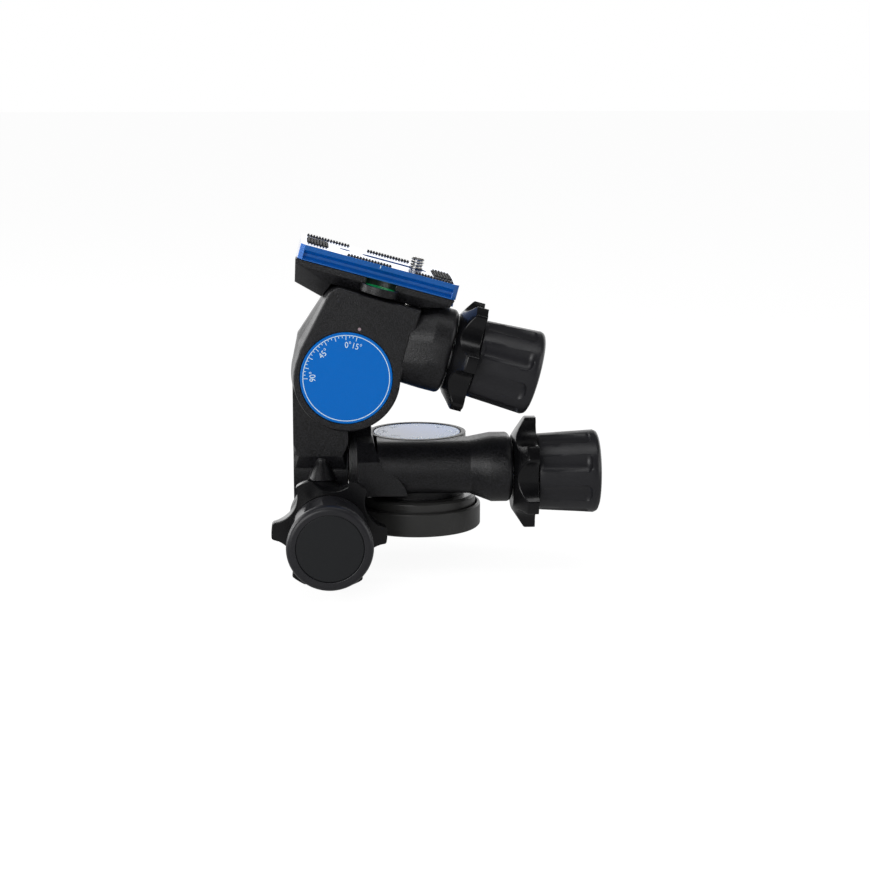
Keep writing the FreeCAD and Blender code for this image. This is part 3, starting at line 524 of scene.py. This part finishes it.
class HEAD_OT_dials(bpy.types.Operator):
    """Prints the degree scales on the three dials"""
    bl_idname = "head.dials"
    bl_label = "Dial scales"

    def execute(self, context):
        sizes = context.scene.head_sizes
        x, y, z = Vector((1, 0, 0)), Vector((0, 1, 0)), Vector((0, 0, 1))
        tilt_marks = range(-15, 91, SHORT_TICK_STEP)
        tilt_numbers = ((-15, "15°"), (0, "0°"), (45, "45°"), (90, "90°"))
        dial_scale("tilt_dial_scale", "roll_body", dial_face(TILT_CENTRE, x, z, -y),
                   tilt_marks, tilt_numbers, sizes)
        dial_scale("roll_dial_scale", "pan_body", dial_face(ROLL_CENTRE, -y, z, -x),
                   tilt_marks, tilt_numbers, sizes)
        pan_numbers = [(-degrees, f"{degrees}°") for degrees in range(0, 360, 45)]
        dial_scale("pan_dial_scale", "base", dial_face(PAN_CENTRE, x, y, z),
                   range(0, 360, SHORT_TICK_STEP), pan_numbers, sizes)
        return {"FINISHED"}


def plate_frame(up, y=PLATE_MID_Y, along=0.0):
    """Matrix of the plate's own frame: x along the plate, y to the far side, z up through it."""
    matrix = Matrix((TILT_ALONG, Vector((0, 1, 0)), TILT_UP)).transposed().to_4x4()
    matrix.translation = Vector((TILT_CENTRE.x, y, TILT_CENTRE.z)) + TILT_UP * up
    return matrix @ Matrix.Translation((along, 0, 0))


def pad(bm, u0, u1, y0, y1, corner, pitch):
    """One rubber pad with round corners and a row of ribs, in the plate's frame."""
    length_u, length_y = u1 - u0, y1 - y0
    middle = Matrix.Translation(((u0 + u1) / 2, (y0 + y1) / 2 - PLATE_MID_Y, 0.0))
    body = bar(bm, (length_u, length_y, PAD_THICKNESS),
               middle @ Matrix.Translation((0, 0, -PAD_DEPTH)))
    upright = [e for e in bm.edges if e.verts[0] in body and e.verts[1] in body
               and abs(e.verts[0].co.z - e.verts[1].co.z) > PAD_THICKNESS / 2]
    bmesh.ops.bevel(bm, geom=upright, offset=corner, offset_type="OFFSET", segments=6,
                    profile=0.5, affect="EDGES", clamp_overlap=True, material=-1)
    count = int(length_u / pitch)
    for rib in range(count):
        offset = (rib - (count - 1) / 2) * pitch
        # Near the pad's ends a rib is shorter, so that it stays within the round corners.
        past = max(0.0, abs(offset) + RIB_WIDTH / 2 - (length_u / 2 - corner))
        inset = corner - math.sqrt(max(0.0, corner ** 2 - past ** 2))
        bar(bm, (RIB_WIDTH, length_y - 2 * inset, RIB_HEIGHT),
            middle @ Matrix.Translation((offset, 0, -RIB_HEIGHT / 2)))


class HEAD_OT_plate(bpy.types.Operator):
    """Breaks the camera plate's edges, lays the ribbed rubber pads in it and marks its centre"""
    bl_idname = "head.plate"
    bl_label = "Camera plate"

    def execute(self, context):
        sizes = context.scene.head_sizes
        softened("camera_plate", sizes.milled_edge)
        bm = bmesh.new()
        for measures in PADS:
            pad(bm, *(value * MM for value in measures), sizes.rib_pitch)
        bmesh.ops.transform(bm, matrix=plate_frame(PAD_SEAT), verts=bm.verts)
        piece("plate_rubber_pads_ribbed", bm, "qr_plate", "pad_rubber", "plate_rubber_pads")
        scribe = bmesh.new()
        bar(scribe, (0.35 * MM, 0.06 * MM, 1.3 * MM), plate_frame(*CENTRE_MARK))
        piece("plate_centre_mark", scribe, "qr_plate", "white_paint")
        return {"FINISHED"}


def cut_off(bm, place, out):
    """Cuts off what lies past a plane, and closes the cut."""
    bmesh.ops.bisect_plane(bm, geom=bm.verts[:] + bm.edges[:] + bm.faces[:], dist=0.0001 * MM,
                           plane_co=place, plane_no=out, clear_outer=True)
    rim = [e for e in bm.edges if e.is_boundary
           and abs((e.verts[0].co - place).dot(out)) < 0.01 * MM]
    bmesh.ops.holes_fill(bm, edges=rim, sides=0)


class HEAD_OT_screw(bpy.types.Operator):
    """Cuts the thread of the camera screw"""
    bl_idname = "head.screw"
    bl_label = "Camera screw"

    def execute(self, context):
        bm = self.thread(context.scene.head_sizes.thread_pitch)
        bmesh.ops.translate(bm, vec=(SCREW_U, 0, 0), verts=bm.verts)
        bmesh.ops.transform(bm, matrix=plate_frame(0.0), verts=bm.verts)
        thread = bpy.data.meshes.new("thread")
        bm.to_mesh(thread)
        bm.free()
        shank = bmesh.new()
        shank.from_mesh(NODES["camera_screw"].data)
        bmesh.ops.remove_doubles(shank, verts=shank.verts, dist=SCREW_MERGE_DISTANCE)
        cut_off(shank, plate_frame(SHANK_CUT).translation, TILT_UP)
        shank.from_mesh(thread)
        bpy.data.meshes.remove(thread)
        smooth(piece("camera_screw_threaded", shank, "camera_screw", "steel", "camera_screw"))
        return {"FINISHED"}

    def thread(self, pitch):
        """The thread upright on the plate's frame, cut flat at both ends, with a coned tip."""
        bm = bmesh.new()
        profile = [bm.verts.new((r, 0.0, THREAD_LOW - pitch + z)) for r, z in (
            (SCREW_ROOT, 0.0), (SCREW_MAJOR, pitch * 0.44), (SCREW_MAJOR, pitch * 0.56),
            (SCREW_ROOT, pitch))]
        edges = [bm.edges.new(pair) for pair in zip(profile, profile[1:])]
        turns = math.ceil((THREAD_TOP - THREAD_LOW) / pitch) + 1
        bmesh.ops.spin(bm, geom=profile + edges, cent=(0, 0, 0), axis=(0, 0, 1),
                       dvec=(0, 0, pitch / THREAD_STEPS), angle=turns * math.tau,
                       steps=turns * THREAD_STEPS, use_merge=False, use_duplicate=False)
        bmesh.ops.remove_doubles(bm, verts=bm.verts, dist=SCREW_MERGE_DISTANCE)
        for end, out in ((THREAD_LOW, -1), (THREAD_TOP, 1)):
            cut_off(bm, Vector((0, 0, end)), Vector((0, 0, out)))
        for vert in bm.verts:
            limit = SCREW_TIP + max(0.0, THREAD_TOP - vert.co.z)
            radius = vert.co.xy.length
            if radius > limit:
                vert.co.xy *= limit / radius
        bmesh.ops.recalc_face_normals(bm, faces=bm.faces)
        return bm


class HEAD_OT_level(bpy.types.Operator):
    """Rounds the spirit level's lens and draws its ring"""
    bl_idname = "head.level"
    bl_label = "Spirit level"

    def execute(self, context):
        softened("level_vial", 0.5 * MM, segments=3)
        bm = bmesh.new()
        ring_mesh(bm, 1.9 * MM, 0.22 * MM)
        bmesh.ops.recalc_face_normals(bm, faces=bm.faces)
        bmesh.ops.transform(bm, matrix=plate_frame(*LEVEL_RING), verts=bm.verts)
        piece("level_ring", bm, "tilt_body", "collar_black")
        return {"FINISHED"}


def area_lamp(name, place, aim, size, power):
    """A rectangular white lamp that faces a point and isn't seen itself."""
    lamp = bpy.data.lights.new(name, "AREA")
    lamp.shape = "RECTANGLE"
    lamp.size, lamp.size_y = size
    lamp.energy = power
    obj = bpy.data.objects.new(name, lamp)
    obj.location = place
    obj.rotation_mode = "QUATERNION"
    obj.rotation_quaternion = (Vector(aim) - Vector(place)).to_track_quat("-Z", "Y")
    obj.visible_camera = False
    bpy.context.scene.collection.objects.link(obj)


class HEAD_OT_stage(bpy.types.Operator):
    """Sets the pale floor, the soft lamps, the surroundings and the camera"""
    bl_idname = "head.stage"
    bl_label = "Stage"

    def execute(self, context):
        scene = context.scene
        scene.view_settings.view_transform = "Standard"
        self.floor()
        self.surroundings(scene)
        middle = (0.0, -0.01, 0.06)
        for name, place, size, power in (
                ("softbox_front_left", (-0.65, -1.15, 0.42), (0.9, 0.6), 7.0),
                ("softbox_right", (1.2, -0.5, 0.5), (0.6, 0.9), 2.4),
                ("strip_above", (0.0, -0.36, 1.2), (1.3, 0.25), 3.0),
                ("strip_left", (-1.2, 0.35, 0.35), (0.5, 0.9), 7.0)):
            area_lamp(name, place, middle, size, power)
        self.camera(scene)
        return {"FINISHED"}

    def camera(self, scene):
        """A long lens, a little to the left of the front and above it."""
        aim = Vector((8.63, 0.0, 42.5)) * MM
        azimuth, elevation, distance = math.radians(-3.3), math.radians(10.9), 975.0 * MM
        camera = bpy.data.cameras.new("camera")
        camera.lens = 85.53
        camera.sensor_width = 36.0
        camera.clip_start, camera.clip_end = 0.01, 20.0
        back = Vector((math.sin(azimuth) * math.cos(elevation),
                       -math.cos(azimuth) * math.cos(elevation), math.sin(elevation)))
        holder = bpy.data.objects.new("camera", camera)
        holder.location = aim + back * distance
        holder.rotation_mode = "QUATERNION"
        holder.rotation_quaternion = (-back).to_track_quat("-Z", "Y")
        scene.collection.objects.link(holder)
        scene.camera = holder

    def floor(self):
        """Pale floor just under the lowest wing, lifted to white where the camera sees it."""
        half_width, gap, lifted_share = 6.0, 0.3 * MM, 0.8
        bm = bmesh.new()
        bmesh.ops.create_grid(bm, x_segments=2, y_segments=2, size=half_width)
        bmesh.ops.translate(bm, vec=(0, 0, CAD_BOX[0].z - gap), verts=bm.verts)
        mesh = bpy.data.meshes.new("floor")
        bm.to_mesh(mesh)
        bm.free()
        material, tree, output, place = started("pale_studio_floor")
        ray = add(tree, "ShaderNodeLightPath")
        seen = ray.outputs["Is Camera Ray"]
        for other in ("Is Glossy Ray", "Is Transmission Ray"):
            seen = add(tree, "ShaderNodeMath", {0: seen, 1: ray.outputs[other]},
                       operation="MAXIMUM").outputs[0]
        lift = add(tree, "ShaderNodeMath", {0: seen, 1: lifted_share}, operation="MULTIPLY")
        matt = add(tree, "ShaderNodeBsdfDiffuse", {"Color": linear("F7F7F7")})
        depth = add(tree, "ShaderNodeSeparateXYZ", {0: place})
        # To gloss the floor is dim in front of the head and bright behind it.
        behind = add(tree, "ShaderNodeMapRange", {
            "Value": depth.outputs["Y"], "From Min": -0.05, "From Max": 0.5,
            "To Min": 0.25, "To Max": 1.2}, interpolation_type="SMOOTHSTEP")
        strength = add(tree, "ShaderNodeMix", {
            "Factor": ray.outputs["Is Camera Ray"], "A": behind.outputs["Result"], "B": 1.16},
            data_type="FLOAT")
        glow = add(tree, "ShaderNodeEmission", {
            "Color": (1, 1, 1, 1), "Strength": strength.outputs[0]})
        mixed = add(tree, "ShaderNodeMixShader", {
            0: lift.outputs[0], 1: matt.outputs[0], 2: glow.outputs[0]})
        tree.links.new(mixed.outputs[0], output.inputs["Surface"])
        mesh.materials.append(material)
        obj = bpy.data.objects.new("floor", mesh)
        bpy.context.scene.collection.objects.link(obj)

    def surroundings(self, scene):
        """White to the eye and a dim even light to matt faces. To gloss they are bright low down
        behind and at both sides, and dim in front and above."""
        world = bpy.data.worlds.new("studio")
        world.use_nodes = True
        scene.world = world
        tree = world.node_tree
        tree.nodes.clear()
        output = add(tree, "ShaderNodeOutputWorld")
        ray = add(tree, "ShaderNodeLightPath")
        direction = add(tree, "ShaderNodeSeparateXYZ", {
            0: add(tree, "ShaderNodeTexCoord").outputs["Generated"]})
        back = add(tree, "ShaderNodeMapRange", {
            "Value": direction.outputs["Y"], "From Min": -0.3, "From Max": 0.6,
            "To Min": 0.1, "To Max": 1.6}, interpolation_type="SMOOTHSTEP")
        aside = add(tree, "ShaderNodeMath", {0: direction.outputs["X"]}, operation="ABSOLUTE")
        sides = add(tree, "ShaderNodeMapRange", {
            "Value": aside.outputs[0], "From Min": 0.45, "From Max": 0.9,
            "To Min": 0.0, "To Max": 0.8}, interpolation_type="SMOOTHSTEP")
        around = add(tree, "ShaderNodeMath", {
            0: back.outputs["Result"], 1: sides.outputs["Result"]}, operation="MAXIMUM")
        above = add(tree, "ShaderNodeMapRange", {
            "Value": direction.outputs["Z"], "From Min": 0.22, "From Max": 0.5,
            "To Min": 1.0, "To Max": 0.08}, interpolation_type="SMOOTHSTEP")
        cove = add(tree, "ShaderNodeMath", {
            0: around.outputs[0], 1: above.outputs["Result"]}, operation="MULTIPLY")
        gloss = add(tree, "ShaderNodeMath", {
            0: ray.outputs["Is Glossy Ray"], 1: ray.outputs["Is Transmission Ray"]},
            operation="MAXIMUM")
        level = add(tree, "ShaderNodeMix", {
            "Factor": gloss.outputs[0], "A": 0.25, "B": cove.outputs[0]}, data_type="FLOAT")
        level = add(tree, "ShaderNodeMix", {
            "Factor": ray.outputs["Is Camera Ray"], "A": level.outputs[0], "B": 1.0},
            data_type="FLOAT")
        light = add(tree, "ShaderNodeBackground", {
            "Color": (1, 1, 1, 1), "Strength": level.outputs[0]})
        tree.links.new(light.outputs[0], output.inputs["Surface"])


OPERATORS = (HEAD_OT_finishes, HEAD_OT_castings, HEAD_OT_knobs, HEAD_OT_dials, HEAD_OT_plate,
             HEAD_OT_screw, HEAD_OT_level, HEAD_OT_stage)


class HEAD_PT_panel(bpy.types.Panel):
    """Sizes, colours and steps of the geared head"""
    bl_label = "Geared Head"
    bl_idname = "HEAD_PT_panel"
    bl_space_type = "VIEW_3D"
    bl_region_type = "UI"
    bl_category = "Geared Head"

    def draw(self, context):
        for settings in (context.scene.head_sizes, context.scene.head_colours):
            box = self.layout.box()
            for name in settings.__annotations__:
                box.prop(settings, name)
        for step in OPERATORS:
            self.layout.operator(step.bl_idname)


CLASSES = (HeadSizes, HeadColours) + OPERATORS + (HEAD_PT_panel,)


def register():
    for cls in CLASSES:
        bpy.utils.register_class(cls)
    bpy.types.Scene.head_sizes = bpy.props.PointerProperty(type=HeadSizes)
    bpy.types.Scene.head_colours = bpy.props.PointerProperty(type=HeadColours)


def unregister():
    del bpy.types.Scene.head_colours
    del bpy.types.Scene.head_sizes
    for cls in reversed(CLASSES):
        bpy.utils.unregister_class(cls)


def main():
    """Runs the steps in order."""
    register()
    for step in OPERATORS:
        group, name = step.bl_idname.split(".")
        getattr(getattr(bpy.ops, group), name)()


if __name__ == "__main__":
    main()
